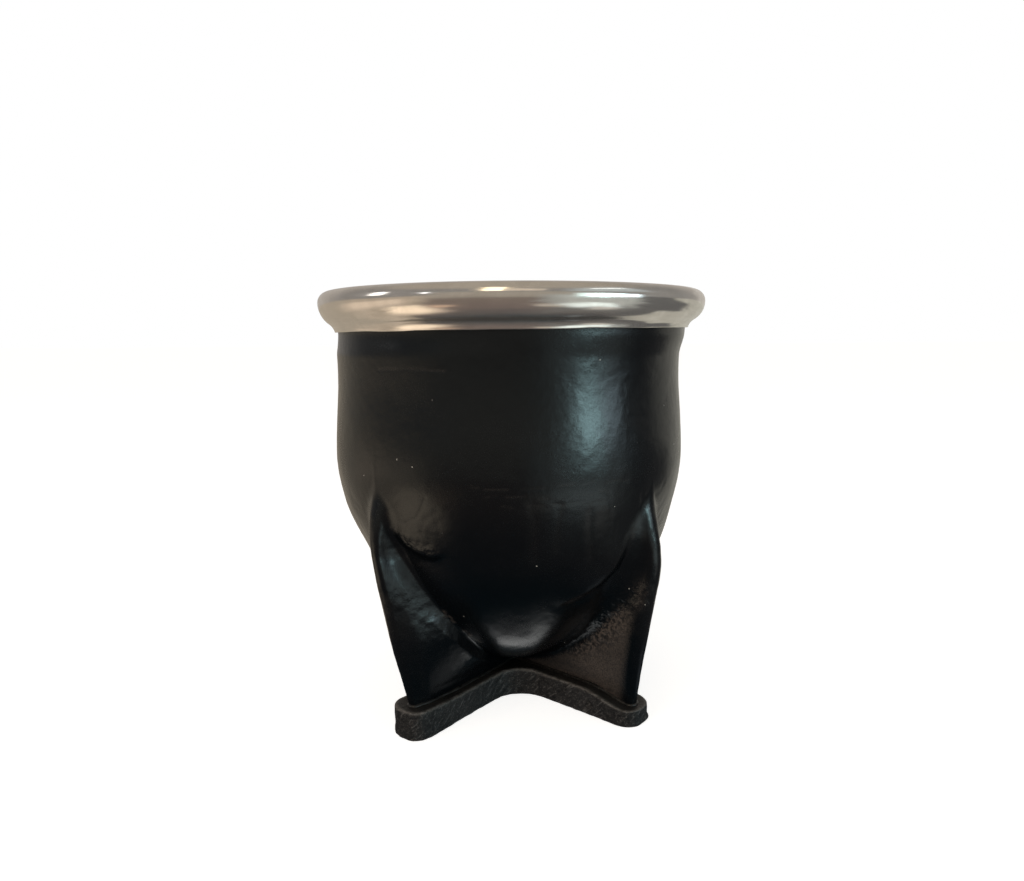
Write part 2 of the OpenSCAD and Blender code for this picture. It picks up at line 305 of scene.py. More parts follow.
def side_outline(z, lean_deg, reach, thick, radii, slants):
    """Half an outline with the fin along +X, from the folded edge round to the middle of the valley.

    The third and fourth results say how far each point belongs to the fin and to its folded edge.
    """
    lean = math.radians(lean_deg)
    edge_top_z = fin_shoulder_z + fin_shoulder_r * math.sin(lean)
    if z > fin_shoulder_z:
        fold_r = reach - fin_shoulder_r + math.sqrt(fin_shoulder_r ** 2 - (z - edge_top_z) ** 2)
    else:
        fold_r = reach - fin_shoulder_r * (1 - math.cos(lean)) - (fin_shoulder_z - z) * math.tan(lean)
    fade = float(ease((z - edge_top_z) / (fin_top_z - edge_top_z)))
    t = thick * float(np.interp(z, *zip(*fin_half_t)))
    v = float(valley_r(z))
    fold_r = v + head_softness * float(np.logaddexp(0, (fold_r - v) / head_softness))
    slant = math.radians(along_height(z, slants))
    root = t + max(0.0, (fold_r - t - v) * math.tan(slant))
    # The crease leaves the middle of the valley free
    g = min(along_height(z, radii), (crease_room * v - root) / (1 - crease_room))
    fold_x = fold_r - t
    # The flank runs from the round of the fold until a crease of radius g touches it and the body
    inwards = np.array([-math.cos(slant), math.sin(slant)])
    outwards = np.array([math.sin(slant), math.cos(slant)])
    flank_start = np.array([fold_x, 0]) + t * outwards
    beside = flank_start + g * outwards
    back = beside @ inwards
    room = back ** 2 - beside @ beside + (v + g) ** 2
    flank_l = -back - math.sqrt(room) if room > 0 else 0.0
    if flank_l > 0:
        crease = beside + flank_l * inwards
        fold_turn = math.pi / 2 - slant
    else:
        met = ((v + g) ** 2 - (t + g) ** 2 + fold_x ** 2) / (2 * fold_x)
        crease = np.array([met, math.sqrt(max(0, (v + g) ** 2 - met ** 2))])
        fold_turn, flank_l = math.atan2(crease[1], crease[0] - fold_x), 0.0
    body_turn = math.atan2(crease[1], crease[0])
    crease_turn = fold_turn - body_turn
    lengths = np.array([t * fold_turn, flank_l, g * crease_turn, v * (math.pi / 4 - body_turn)])
    # Points crowd together on the fold and in a tight crease
    crowd = np.array([2.6, 1.0, min(3.0, max(1.0, 4 / g)), 1.0])
    ends = np.concatenate([[0], np.cumsum(lengths * crowd)])
    along = np.interp(np.linspace(0, ends[-1], half_n + 1), ends, np.concatenate([[0], np.cumsum(lengths)]))
    s1, s2, s3 = np.cumsum(lengths)[:3]
    a = along / t
    b = math.pi + fold_turn - (along - s2) / g
    c = body_turn + (along - s3) / v
    flank = flank_start[:, None] + inwards[:, None] * (along - s1)
    x = np.select([along <= s1, along <= s2, along <= s3],
                  [fold_x + t * np.cos(a), flank[0], crease[0] + g * np.cos(b)], v * np.cos(c))
    y = np.select([along <= s1, along <= s2, along <= s3],
                  [t * np.sin(a), flank[1], crease[1] + g * np.sin(b)], v * np.sin(c))
    # The foot spreads where it was pressed on the sole
    y = y * (1 + foot_spread * float(ease((foot_spread_z - z) / 2.6)) * (along < s2))
    standing = 1 - fade
    return x, y, np.clip((x - v) / 3.5, 0, 1) * standing, np.exp(-((fold_x - x) / 2.4) ** 2) * standing


fine_z = np.concatenate([np.linspace(cover_z, 12, 3000), np.linspace(12, seat_z, 3000)[1:]])
fine_r = valley_r(fine_z)
fine_s = np.concatenate([[0], np.cumsum(np.hypot(np.diff(fine_r), np.diff(fine_z)))])
levels = np.interp(np.linspace(0, fine_s[-1], n_levels), fine_s, fine_z)
even_turn = np.arange(half_n + 1) / half_n * math.pi / 4

rows, fin_rows, edge_rows = [], [], []
for z in levels:
    ring, on_fin, on_edge = [], [], []
    aside = bowl_shift * float(ease((z - 36) / 12) * ease((84.6 - z) / 5))
    for k in range(4):
        heading = math.radians(45 + 90 * k + twist(z))
        for side in (clockwise, counter):
            x, y, fin_share, edge_share = side_outline(min(z, fin_top_z), *fin_edges[k], *fin_sides[k, side])
            if z > fin_top_z:
                turn = np.arctan2(y, x)
                stand = np.hypot(x, y) - float(valley_r(fin_top_z))
                r = float(valley_r(z)) + stand * (1 - ease((z - fin_top_z) / 8))
                turn = turn + (even_turn - turn) * ease((z - fin_top_z) / 14)
                x, y = r * np.cos(turn), r * np.sin(turn)
            keep = slice(None, 0, -1) if side == clockwise else slice(None, -1)
            x, y, fin_share, edge_share = x[keep], y[keep], fin_share[keep], edge_share[keep]
            if side == clockwise:
                y = -y
            if (k, side) == (front_left, counter):
                y = y + fullness(z) * ease((x.max() - x) / 5.0) * fin_share
            line = np.stack([np.full_like(x, z), np.full_like(x, 7.0 * k), x * 0.3], 1)
            y = y + fin_wander[k] * lumps(line, 13, 3) * fin_share ** 1.5
            x = x + fold_wander * lumps(line, 9, 4) * edge_share
            ring.append(np.stack([x * math.cos(heading) - y * math.sin(heading) + aside,
                                  x * math.sin(heading) + y * math.cos(heading), np.full_like(x, z)], 1))
            on_fin.append(fin_share)
            on_edge.append(edge_share)
    rows.append(np.concatenate(ring))
    fin_rows.append(np.concatenate(on_fin))
    edge_rows.append(np.concatenate(on_edge))
skin = np.array(rows)
ring_n = skin.shape[1]
fin_share = np.array(fin_rows).ravel()
edge_share = np.array(edge_rows).ravel()
round_way = np.roll(skin, -1, 1) - np.roll(skin, 1, 1)
up_way = np.gradient(skin, axis=0)
skin_normal = np.cross(round_way, up_way).reshape(-1, 3)
skin_normal /= np.linalg.norm(skin_normal, axis=1, keepdims=True) + 1e-12
skin = skin.reshape(-1, 3)

# Marks are drawn on the body by bearing from the front in degrees and by height
bearing = np.degrees(np.arctan2(skin[:, 0], -skin[:, 1]))
radius = np.hypot(skin[:, 0], skin[:, 1])
height = skin[:, 2]
slope_s = np.interp(height, fine_z, fine_s)
relief = np.zeros(len(skin))
worn_and_sheen = np.zeros(len(skin))
crinkled = np.zeros(len(skin))


def away_from(path, reach):
    """Distance of the hide from a line of marks, up to reach, and the side: 1 left of it, -1 right.

    The third result falls from 1 to 0 over the last stretch of the line at both ends.
    """
    nearest = np.full(len(skin), 1e3)
    side = np.ones(len(skin))
    share = np.zeros(len(skin))
    marks = [(b, float(np.interp(z, fine_z, fine_s))) for b, z in path]
    parts = len(marks) - 1
    for i, ((b0, s0), (b1, s1)) in enumerate(zip(marks, marks[1:])):
        off = (bearing - (b0 + b1) / 2 + 180) % 360 - 180
        near = ((np.abs(off) < abs(b1 - b0) / 2 + reach * search_deg_per_mm)
                & (np.abs(slope_s - (s0 + s1) / 2) < abs(s1 - s0) / 2 + reach))
        r = radius[near]
        px = np.radians(off[near] + (b1 - b0) / 2) * r
        qx = np.radians(b1 - b0) * r
        py, qy = slope_s[near] - s0, s1 - s0
        t = np.clip((px * qx + py * qy) / (qx * qx + qy * qy + 1e-9), 0, 1)
        d = np.hypot(px - t * qx, py - t * qy)
        closer = d < nearest[near]
        nearest[near] = np.where(closer, d, nearest[near])
        side[near] = np.where(closer, np.sign(qx * py - qy * px), side[near])
        share[near] = np.where(closer, (i + t) / parts, share[near])
    return nearest, side, ease(share * 3) * ease((1 - share) * 3)


def press(path, width, depth, wear_and_sheen=0.0):
    """Presses a line of the given half width into the hide, or raises it if depth is negative, and paints it
    lighter: real wear on scuffs and scratches, painted glints in a crease.
    """
    mark = np.exp(-(away_from(path, 4 * width)[0] / width) ** 2) * (1 - fin_share)
    relief[:] -= depth * mark
    worn_and_sheen[:] = np.maximum(worn_and_sheen, wear_and_sheen * mark)


def tuck(path, proud, drop, crinkle, wear_and_sheen=0.0):
    """Lets the hide bulge on the left of a line and turns it under on the right, and paints a thin pale line
    along it as a painted highlight.
    """
    d, side, middle = away_from(path, 9.0)
    body = (1 - fin_share) * middle
    bulge = proud * np.exp(-(d / np.where(side > 0, 4.0, 1.3)) ** 2)
    under = drop * ease(d / 2.2) * np.exp(-(d / 4.2) ** 2) * (side < 0)
    relief[:] += (bulge - under) * body
    crinkled[:] = np.maximum(crinkled, crinkle * middle * np.exp(-(d / 2.2) ** 2))
    worn_and_sheen[:] = np.maximum(worn_and_sheen, wear_and_sheen * body * np.exp(-(d / 0.9) ** 2))


hand = np.random.default_rng(7)
# The front of the body: creases down the bulge, one long scratch and two short ones
press([(2.6, 52.7), (3.0, 47), (3.6, 41.2)], 1.0, 0.06, 0.04)
press([(10.3, 52.5), (9.8, 47.5), (10.3, 43.1)], 0.8, 0.05, 0.04)
press([(19.6, 50.4), (20.6, 45), (22.4, 40)], 0.9, 0.07, 0.05)
press([(-44, 77.6), (-33, 77.9), (-21, 77.7)], 0.22, 0.03, 0.2)
press([(-31, 49.5), (-29.5, 51), (-27.5, 53.5)], 0.3, 0.06)
press([(-36, 47.5), (-33.5, 48.6), (-31.8, 48.8)], 0.3, 0.05)
# Painted glints in the crease of the front left fin: short raised dabs painted pale
for _ in range(11):
    along = hand.uniform(0, 1)
    b, z = -34 + 11 * along + hand.normal(0, 0.5), 27 - 11 * along + hand.normal(0, 0.4)
    glint_end = (b + hand.uniform(0.2, 0.7), z - hand.uniform(0.1, 0.5))
    press([(b, z), glint_end], 0.35, -0.05, hand.uniform(0.4, 1.0))
# Scuffs across the belly
for start, end, z in ((-14, 29, 56.0), (-11, 24, 54.2), (-6, 27, 52.6)):
    b = start
    while b < end:
        long = hand.uniform(1.5, 7.0)
        lifted = z + hand.normal(0, 0.35)
        scuff_end = (b + long, lifted + hand.normal(0, 0.25))
        press([(b, lifted), scuff_end], 0.2, 0.04, hand.uniform(0.03, 0.2))
        b += long + hand.uniform(0.5, 4.0)
# Where the surplus starts, the hide bulges over the crease of each fin, left and right of a valley
tuck([(-43, 49), (-40, 45), (-37, 42.8), (-33, 41.6), (-29.5, 41.3), (-26.5, 42.2), (-24, 44)], 0.4, 0.5, 1.0)
press([(-25.2, 49.5), (-24.2, 47.8), (-24.6, 46)], 0.5, 0.04)
# The faint pale line along this bulge's edge is a painted highlight
tuck([(12, 29.5), (17, 30.6), (22.9, 32.1), (28.6, 33.8), (33.5, 37), (35.2, 42), (37.5, 47.5)],
     0.5, 0.28, 0.0, 0.06)
for middle in (90, 180, -90):
    b0, z0 = middle + hand.normal(0, 1.5), hand.normal(0, 1.5)
    left = [(b0 + b, z0 + z) for b, z in ((-42, 49), (-38, 43), (-33, 39), (-27, 37), (-21, 35))]
    tuck(left, hand.uniform(0.3, 0.5), hand.uniform(0.4, 0.8), hand.uniform(0.5, 1.0))
    # Each right-hand bulge carries a faint painted highlight line
    right = [(b0 + b, z0 + z) for b, z in ((15, 32), (20, 33), (26, 34.5), (33, 38), (37, 46))]
    tuck(right, hand.uniform(0.3, 0.5), hand.uniform(0.3, 0.6), hand.uniform(0.2, 0.6),
         hand.uniform(0.1, 0.3))
# Similar creases and scuffs on the sides and the back
for b, z0, z1 in ((84, 51, 42), (97, 53, 44), (171, 52, 41), (186, 50, 43), (-95, 52, 42), (-83, 49, 40)):
    press([(b, z0), (b + hand.normal(0, 1), z1)], 0.9, 0.06, 0.05)
for middle in (90, 180, -90):
    for _ in range(22):
        b, z = middle + hand.uniform(-30, 30), hand.choice([53.0, 56.0, 60.0]) + hand.normal(0, 1.2)
        scuff_end = (b + hand.uniform(1.5, 7), z + hand.normal(0, 0.3))
        press([(b, z), scuff_end], 0.2, 0.03, hand.uniform(0.1, 0.4))
# Wrinkles where the surplus is gathered into the head of each fin
for head in (-135, -45, 45, 135):
    for way in (-1, 1):
        for _ in range(40):
            b = head + way * hand.uniform(4, 22)
            z = hand.uniform(38, 53) - 0.10 * abs(b - head)
            tilt = hand.normal(0.9 * way, 0.5)
            long = hand.uniform(1.2, 3.4)
            half_b = math.degrees(long * math.cos(tilt) / 39)
            half_z = long * math.sin(tilt)
            press([(b - half_b, z - half_z), (b, z + hand.normal(0, 0.3)), (b + half_b, z + half_z)],
                  hand.uniform(0.4, 0.8), hand.uniform(0.008, 0.028))

# The hide is crinkled where the face of a fin turns into its wide crease and is squeezed most
off_body = radius - valley_r(height)
wide_crease = np.exp(-((off_body - 3.6) / np.where(off_body > 3.6, 4.8, 2.6)) ** 2)
wide_crease *= ease((36 - height) / 6) * ease((height - 9) / 4)
before_fin = np.radians(45 + twist(height) - bearing) * radius
front_of_right_fin = ease((bearing - 8) / 8) * ease((before_fin - 1.0) / 0.9)
crinkled = np.maximum(crinkled, wide_crease * (0.3 + 0.7 * front_of_right_fin))
hand_made = 0.20 * lumps(skin, 25, 5) + 0.06 * lumps(skin, 10, 6) + 0.02 * lumps(skin, 4, 7)
pebbled = 0.13 * lumps(skin, 1.6, 8) + 0.07 * lumps(skin, 0.9, 9)
# Between two fins the gourd stands out low down, before it turns under
off_valley = np.abs((bearing + 45) % 90 - 45)
relief += 0.8 * np.exp(-((height - 17) / 6) ** 2) * ease((26 - off_valley) / 16) * (1 - fin_share)
relief += hand_made * (1 - 0.75 * fin_share) + pebbled * (0.10 + 0.08 * fin_share + 0.8 * crinkled)
# Nothing moves at the foot or under the lip of the rim, where the hide is drawn in a little
relief *= ease((height - cover_z) / 1.2) * ease((84.0 - height) / 3.0)
relief -= 0.03 * np.exp(-((height - 84.9) / 0.8) ** 2)
skin = skin + skin_normal * relief[:, None]
skin[:, 2] -= sag(skin[:, :2]) * ease((16 - height) / (16 - cover_z))
# The front of the front right fin, but not its folded edge, is painted a lighter brown as a painted sheen,
# and made rougher
fold_tip_r = np.where(np.abs(bearing - 45) < 20, radius, 0).reshape(n_levels, ring_n).max(1)
from_fold = np.repeat(fold_tip_r, ring_n) - radius
face_sheen = front_of_right_fin * ease((off_body - 2.2) / 2.6) * ease((from_fold - 1.8) / 2.6)
face_sheen *= ease((28.5 + 1.5 * lumps(skin, 5, 22) - height) / 5) * (0.98 + 0.2 * lumps(skin, 7, 21))
# The low part of every folded edge is rubbed here and there
rubbed_edge = 0.30 * edge_share ** 2 * ease(0.3 + 1.2 * lumps(skin, 6, 10)) * ease((38 - height) / 8)
worn_and_sheen = np.maximum(np.maximum(worn_and_sheen, face_sheen), rubbed_edge)

# The flesh side lies on the gourd, so that the hide is a closed sheet
lining_line = body_path(leather_t, seat_z, 26, 8)[::-1][:-1]
lining = spin(lining_line, np.arctan2(skin[-ring_n:, 1], skin[-ring_n:, 0]))
ends = np.array([[0, 0, cover_z], [0, 0, underside_z + leather_t]])
cover_points = np.concatenate([skin, lining, ends])
n_rows = n_levels + len(lining_line)
cover_faces = strip_faces(n_rows, ring_n)
cover_faces += fan_faces(n_rows * ring_n, 0, ring_n, False)
cover_faces += fan_faces(n_rows * ring_n + 1, (n_rows - 1) * ring_n, ring_n, True)


def maths(tree, operation, a, b):
    return put(tree, "Math", {0: a, 1: b}, operation=operation).outputs[0]


def times(tree, a, b):
    return maths(tree, "MULTIPLY", a, b)


def paint(piece, name, values):
    """Keeps a value for each point of a piece, for its finish to read."""
    layer = piece.data.attributes.new(name, "FLOAT", "POINT")
    layer.data.foreach_set("value", np.asarray(values, np.float32))


def painted(tree, name):
    return put(tree, "Attribute", attribute_name=name).outputs["Fac"]


deep_black, soft_black = (0.0010, 0.0020, 0.0030, 1), (0.0022, 0.0030, 0.0040, 1)
worn_and_sheen_brown, dust_grey = (0.064, 0.054, 0.048, 1), (0.34, 0.33, 0.31, 1)
black_hide, tree, shader = new_finish("black_hide")
spot = where(tree)
wear_and_sheen, crinkle = painted(tree, "worn_and_sheen"), painted(tree, "crinkled")
drift = grain(tree, spot, 14.0, 3.0)
dimple = grain(tree, spot, 1.1, 2.0, 0.5)
fine = grain(tree, spot, 0.30, 3.0, 0.6)
pebble = grain(tree, spot, 0.75, 2.5, 0.5, 0.3)
# The dye goes first from the tops of the pebbles
tops = put(tree, "Mix", {0: crinkle, 2: 0.95, 3: between(tree, pebble, 0.38, 0.62, 0.1, 1.7)}).outputs[0]
# Worn places, painted glints, painted highlight lines and the painted sheen all show this lighter brown
bared_and_sheen = times(tree, times(tree, wear_and_sheen, tops), between(tree, fine, 0.35, 0.65, 0.3, 1.0))
# A few specks of dust lie on the hide
dust = put(tree, "TexVoronoi", {"Vector": spot, "Scale": 260.0}).outputs
lot = put(tree, "SeparateColor", {"Color": dust["Color"]}).outputs[0]
speck = times(tree, between(tree, dust["Distance"], 0.05, 0.03), between(tree, lot, 0.55, 0.58))
dyed = layered(tree, deep_black, [
    (between(tree, drift, 0.3, 0.7), soft_black),
    (bared_and_sheen, worn_and_sheen_brown),
    (times(tree, speck, 0.8), dust_grey)])
polish = maths(tree, "ADD", between(tree, drift, 0.25, 0.75, 0.20, 0.26),
               between(tree, fine, 0.3, 0.7, -0.03, 0.04))
polish = maths(tree, "SUBTRACT", polish, times(tree, crinkle, 0.05))
polish = maths(tree, "ADD", polish, times(tree, wear_and_sheen, 0.16))
height_of_pebble = times(tree, pebble, between(tree, crinkle, 0.0, 1.0, 0.03, 1.0))
surface = raised(tree, dimple, 0.06, 0.35, raised(tree, height_of_pebble, 0.26, 0.8))
lay_finish(tree, shader, dyed, polish, raised(tree, fine, 0.03, 0.45, surface))
shader.inputs["Specular IOR Level"].default_value = 0.38
shader.inputs["Specular Tint"].default_value = (0.92, 0.98, 1.0, 1)

cover = mesh_piece("leather_cover_formed", cover_points, cover_faces, black_hide)
unmarked = np.zeros(len(cover_points) - len(skin))
paint(cover, "worn_and_sheen", np.concatenate([worn_and_sheen, unmarked]))
paint(cover, "crinkled", np.concatenate([crinkled, unmarked]))
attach(cover, "root")
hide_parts("leather_cover")

# Rim bedding: a ring of clear amber resin, poured into the rim before it is pushed on.
# It fills the hollow above the cut edges of the gourd and the leather and holds the rim.
# It is sealed in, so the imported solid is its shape.
dark_amber, pale_amber = (0.50, 0.38, 0.20, 1), (0.66, 0.55, 0.36, 1)
amber_resin, tree, shader = new_finish("amber_resin")
cloud = grain(tree, where(tree), 3.0, 4.0)
amber = blend(tree, between(tree, cloud, 0.3, 0.7), dark_amber, pale_amber)
lay_finish(tree, shader, amber, between(tree, cloud, 0.3, 0.7, 0.3, 0.45), raised(tree, cloud, 0.1, 0.3))
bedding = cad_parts["rim_bedding"]
for place in bedding.material_slots:
    place.material = amber_resin

# Metal rim: sheet steel spun over a former into a lip, a roll, a crown and a skirt in the mouth.
# It is polished on the lathe, so fine lines run round it; the spun sheet is never quite true.
# It is pushed down over the leather and the skirt holds it in the gourd.
cup_h = 93.6
roll_r, shoulder_r, lip_r, crown_r, mouth_roll_r = 5.2, 2.4, 3.0, 30.0, 3.2
lip_turn, lip_end_turn = math.radians(56), math.radians(15)
rim_turns = 320
rim_wide_z = cup_h - shoulder_r
lip_z = rim_wide_z - roll_r * math.sin(lip_turn) - lip_r * (math.sin(lip_turn) - math.sin(lip_end_turn))
rim_r = (float(wall_r(lip_z)) + rim_gap + sheet_t + roll_r * (1 - math.cos(lip_turn))
         + lip_r * (math.cos(lip_end_turn) - math.cos(lip_turn)))
roll_c = np.array([rim_r - roll_r, rim_wide_z])
shoulder_c = np.array([rim_r - shoulder_r, rim_wide_z])
lip_c = roll_c + (roll_r + lip_r) * np.array([math.cos(lip_turn), -math.sin(lip_turn)])
crown_c = np.array([shoulder_c[0], cup_h - crown_r])
crown_in_r = (mouth_r + mouth_roll_r - mouth_roll_r * shoulder_c[0] / crown_r) / (1 - mouth_roll_r / crown_r)
crown_turn = math.asin((shoulder_c[0] - crown_in_r) / crown_r)
mouth_roll_c = crown_c + (crown_r - mouth_roll_r) * np.array([-math.sin(crown_turn), math.cos(crown_turn)])


def arc(centre, r, start, end, steps):
    a = np.linspace(start, end, steps + 1)
    return centre + r * np.stack([np.cos(a), np.sin(a)], 1)


def sheet_line(inset):
    """Line of the rim's sheet from the lip to the end of the skirt, moved into the metal by inset."""
    quarter = math.pi / 2
    skirt = np.linspace(mouth_roll_c[1], skirt_low_z, 13)[1:]
    return np.concatenate([
        arc(lip_c, lip_r + inset, math.pi - lip_end_turn, math.pi - lip_turn, 12),
        arc(roll_c, roll_r - inset, -lip_turn, 0, 20)[1:],
        arc(shoulder_c, shoulder_r - inset, 0, quarter, 22)[1:],
        arc(crown_c, crown_r - inset, quarter, quarter + crown_turn, 16)[1:],
        arc(mouth_roll_c, mouth_roll_r - inset, quarter + crown_turn, math.pi, 20)[1:],
        np.stack([np.full(12, mouth_r + inset), skirt], 1)])


face_line, back_line = sheet_line(0.0), sheet_line(sheet_t)[::-1]
# The cut edges of the sheet are rounded over
lip_edge = (face_line[0] + back_line[-1]) / 2 + np.array([0.02, -0.12])
skirt_edge = (face_line[-1] + back_line[0]) / 2 + np.array([0, -0.12])
rim_line = np.concatenate([face_line, [skirt_edge], back_line, [lip_edge]])
rim_points = spin(rim_line, even_turns(rim_turns))
rim_out = np.hypot(rim_points[:, 0], rim_points[:, 1])
untrue = 0.06 * lumps(rim_points * [1, 1, 1.6], 15, 11) + 0.03 * lumps(rim_points, 6, 12)
rim_points[:, :2] *= (1 + untrue / rim_out)[:, None]
# The lip is trimmed by hand, so its edge is wavy and stands a little higher on the right
near_lip = ease((rim_wide_z - 1 - rim_points[:, 2]) / (rim_wide_z - 1 - lip_z)) * (rim_out > 36)
trim = 0.02 + 0.36 * rim_points[:, 0] / rim_r
trim += 0.10 * lumps(rim_points * [1, 1, 0], 8, 13) + 0.03 * lumps(rim_points * [1, 1, 0], 3, 14)
rim_points[:, 2] += near_lip * trim
# The last ring is joined to the first, so that the sheet is closed
rim_faces = [[p % len(rim_points) for p in quad] for quad in strip_faces(len(rim_line) + 1, rim_turns)]


def length(tree, vector):
    return put(tree, "VectorMath", {0: vector}, operation="LENGTH").outputs["Value"]


bright_steel, dim_steel = (0.74, 0.71, 0.665, 1), (0.68, 0.65, 0.605, 1)
polished_steel, tree, shader = new_finish("polished_steel")
spot = where(tree)
axes = put(tree, "SeparateXYZ", {"Vector": spot}).outputs
from_axis = length(tree, put(tree, "CombineXYZ", {"X": axes[0], "Y": axes[1]}).outputs[0])
turned = times(tree, maths(tree, "ARCTAN2", axes[1], axes[0]), 0.0012)
lathe_place = put(tree, "CombineXYZ", {"X": from_axis, "Y": axes[2], "Z": turned}).outputs[0]
lathe = grain(tree, lathe_place, 0.22, 4.0, 0.65)
smear = grain(tree, spot, 7.0, 4.0, 0.6, 0.8)
steel = blend(tree, between(tree, smear, 0.35, 0.7), bright_steel, dim_steel)
dull = maths(tree, "ADD", between(tree, smear, 0.3, 0.75, 0.088, 0.175),
             between(tree, lathe, 0.4, 0.7, 0.0, 0.05))
lay_finish(tree, shader, steel, dull, raised(tree, lathe, 0.004, 0.35, raised(tree, smear, 0.02, 0.25)))
shader.inputs["Metallic"].default_value = 0.91

rim = mesh_piece("metal_rim_polished", rim_points, rim_faces, polished_steel)
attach(rim, "root")
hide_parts("metal_rim")

# Cross sole: four arms cut with a knife from thick black sole leather, one under each fin.
# The cut sides show the fibres and the slanted drag of the knife; the edges are only eased by wear.
# Contact cement holds it to the feet of the fins.
sole_t, sole_arm_w, sole_reach = 6.0, 9.0, 36.4
sole_corner_r, sole_crotch_r = 3.8, 8.0
# How much longer than the pattern each arm was cut
tip_extra = {back_right: 0.2, back_left: 0.0, front_left: 0.6, front_right: 0.0}
# The front side of the front right arm has a nick, and its tip a thin burr low down
nick_out, nick_z, nick_depth = 25.3, 2.7, 0.7
burr_out, burr_z, burr_size = 34.6, 1.2, 0.45


def cross_outline(arm_w, reach, corner, crotch, spacing):
    """Outline of the cross, evenly spaced, with its outward directions and the run along it."""
    half = arm_w / 2
    tip = np.array([reach - corner, half - corner])
    fillet = np.array([half + crotch, half + crotch])
    rad = math.radians
    arm = np.concatenate([
        arc(fillet * [1, -1], crotch, rad(135), rad(90), 24), arc(tip * [1, -1], corner, rad(-90), 0, 40),
        arc(tip, corner, 0, rad(90), 40), arc(fillet, crotch, rad(270), rad(225), 24)[:-1]])
    turned = [arm @ np.array([arm_way(k), [-arm_way(k)[1], arm_way(k)[0]]]) for k in range(4)]
    line = np.concatenate(turned + [turned[0][:1]])
    run = np.concatenate([[0], np.cumsum(np.hypot(*np.diff(line, axis=0).T))])
    even = np.linspace(0, run[-1], int(run[-1] / spacing), endpoint=False)
    points = np.stack([np.interp(even, run, line[:, 0]), np.interp(even, run, line[:, 1])], 1)
    along = np.roll(points, -1, 0) - np.roll(points, 1, 0)
    outward = np.stack([along[:, 1], -along[:, 0]], 1)
    return points, outward / np.linalg.norm(outward, axis=1, keepdims=True), even


edge, edge_out, edge_run = cross_outline(sole_arm_w, sole_reach, sole_corner_r, sole_crotch_r, 0.33)
n_edge = len(edge)
# Height, set-back and rub of each line from the underside over the cut side to the top
sole_lines = [(0.0, 2.8, 0), (0.0, 0.7, 0), (0.03, 0.34, 0), (0.15, 0.12, 0.2), (0.38, 0.02, 0.2)]
sole_lines += [(z, 0.0, 0) for z in np.linspace(0.75, 5.35, 15)]
sole_lines += [(5.62, 0.01, 0.4), (5.82, 0.07, 0.9), (5.93, 0.2, 1.0), (5.98, 0.42, 0.6), (6.0, 0.9, 0),
               (6.0, 1.7, 0), (6.0, 2.6, 0)]
out_way = arm_way(front_right)
side_way = np.array([-out_way[1], out_way[0]])
sole_rows, rub_rows = [], []
for z, back, rub in sole_lines:
    flat = np.column_stack([edge, np.full(n_edge, z)])
    slant = np.column_stack([(edge_run - z) * 0.7, (edge_run + z) * 0.1, np.zeros(n_edge)])
    out_by = 0.10 * lumps(flat * [1, 1, 0.5], 5, 15) + 0.05 * lumps(flat, 1.1, 16)
    out_by += 0.10 * lumps(slant, 0.9, 17)
    out_by *= ease((1.0 - back) / 0.6)
    nick_d = np.hypot((edge @ out_way - nick_out) / 0.8, (z - nick_z) / 1.0)
    out_by -= nick_depth * np.exp(-nick_d ** 2) * (edge @ side_way < -3) * (back < 0.1)
    burr = ease((edge @ out_way - burr_out) / 1.6) * ease((edge @ side_way + 1.5) / 3)
    out_by += burr_size * burr * math.exp(-((z - burr_z) / 0.7) ** 2)
    row = edge + edge_out * (out_by - back)[:, None]
    up = z * (1 - sag(edge) / sole_t) + 0.06 * lumps(flat, 3, 18) * (z > 5)
    for k, extra in tip_extra.items():
        row = row + arm_way(k) * (extra * ease((edge @ arm_way(k) - 26) / 9))[:, None]
    up += 0.4 * z / sole_t * ease((13.5 - np.hypot(*row.T)) / 4) * ease((2.4 - back) / 1.5)
    sole_rows.append(np.column_stack([row, up]))
    rub_rows.append(np.full(n_edge, rub))
sole_points = np.concatenate(sole_rows)
sole_faces = strip_faces(len(sole_lines), n_edge)
sole_faces.append(list(range(n_edge))[::-1])
sole_faces.append(list(range(len(sole_points) - n_edge, len(sole_points))))

cut_black, cut_grey = (0.0056, 0.0058, 0.0064, 1), (0.0220, 0.0216, 0.0220, 1)
knife_grey, fluff_grey = (0.080, 0.079, 0.080, 1), (0.095, 0.093, 0.094, 1)
top_black, top_grey, rub_grey = (0.007, 0.007, 0.007, 1), (0.016, 0.015, 0.014, 1), (0.13, 0.125, 0.12, 1)
cut_sole_leather, tree, shader = new_finish("cut_sole_leather")
spot = where(tree)
run, rubbed = painted(tree, "run"), painted(tree, "rub")
high = put(tree, "SeparateXYZ", {"Vector": spot}).outputs[2]
facing = put(tree, "NewGeometry").outputs["Normal"]
on_top = between(tree, put(tree, "SeparateXYZ", {"Vector": facing}).outputs[2], 0.5, 0.9)
across_cut = maths(tree, "SUBTRACT", run, high)
along_cut = times(tree, maths(tree, "ADD", run, high), 0.13)
cut_place = put(tree, "CombineXYZ", {"X": across_cut, "Y": along_cut}).outputs[0]
drag = grain(tree, cut_place, 0.55, 4.0, 0.65, 0.3)
layers = grain(tree, where(tree, (1, 1, 2.2)), 0.9, 5.0, 0.65, 0.8)
blotch = grain(tree, spot, 5.0, 3.0)
fluff = grain(tree, spot, 0.35, 3.0, 0.7)
sole_colour = layered(tree, cut_black, [
    (between(tree, layers, 0.35, 0.7), cut_grey),
    (between(tree, drag, 0.55, 0.68, 0.0, 0.8), knife_grey),
    (between(tree, fluff, 0.54, 0.68, 0.0, 0.7), fluff_grey),
    (on_top, blend(tree, between(tree, blotch, 0.3, 0.7), top_black, top_grey)),
    (times(tree, rubbed, between(tree, layers, 0.3, 0.65, 0.15, 0.8)), rub_grey)])
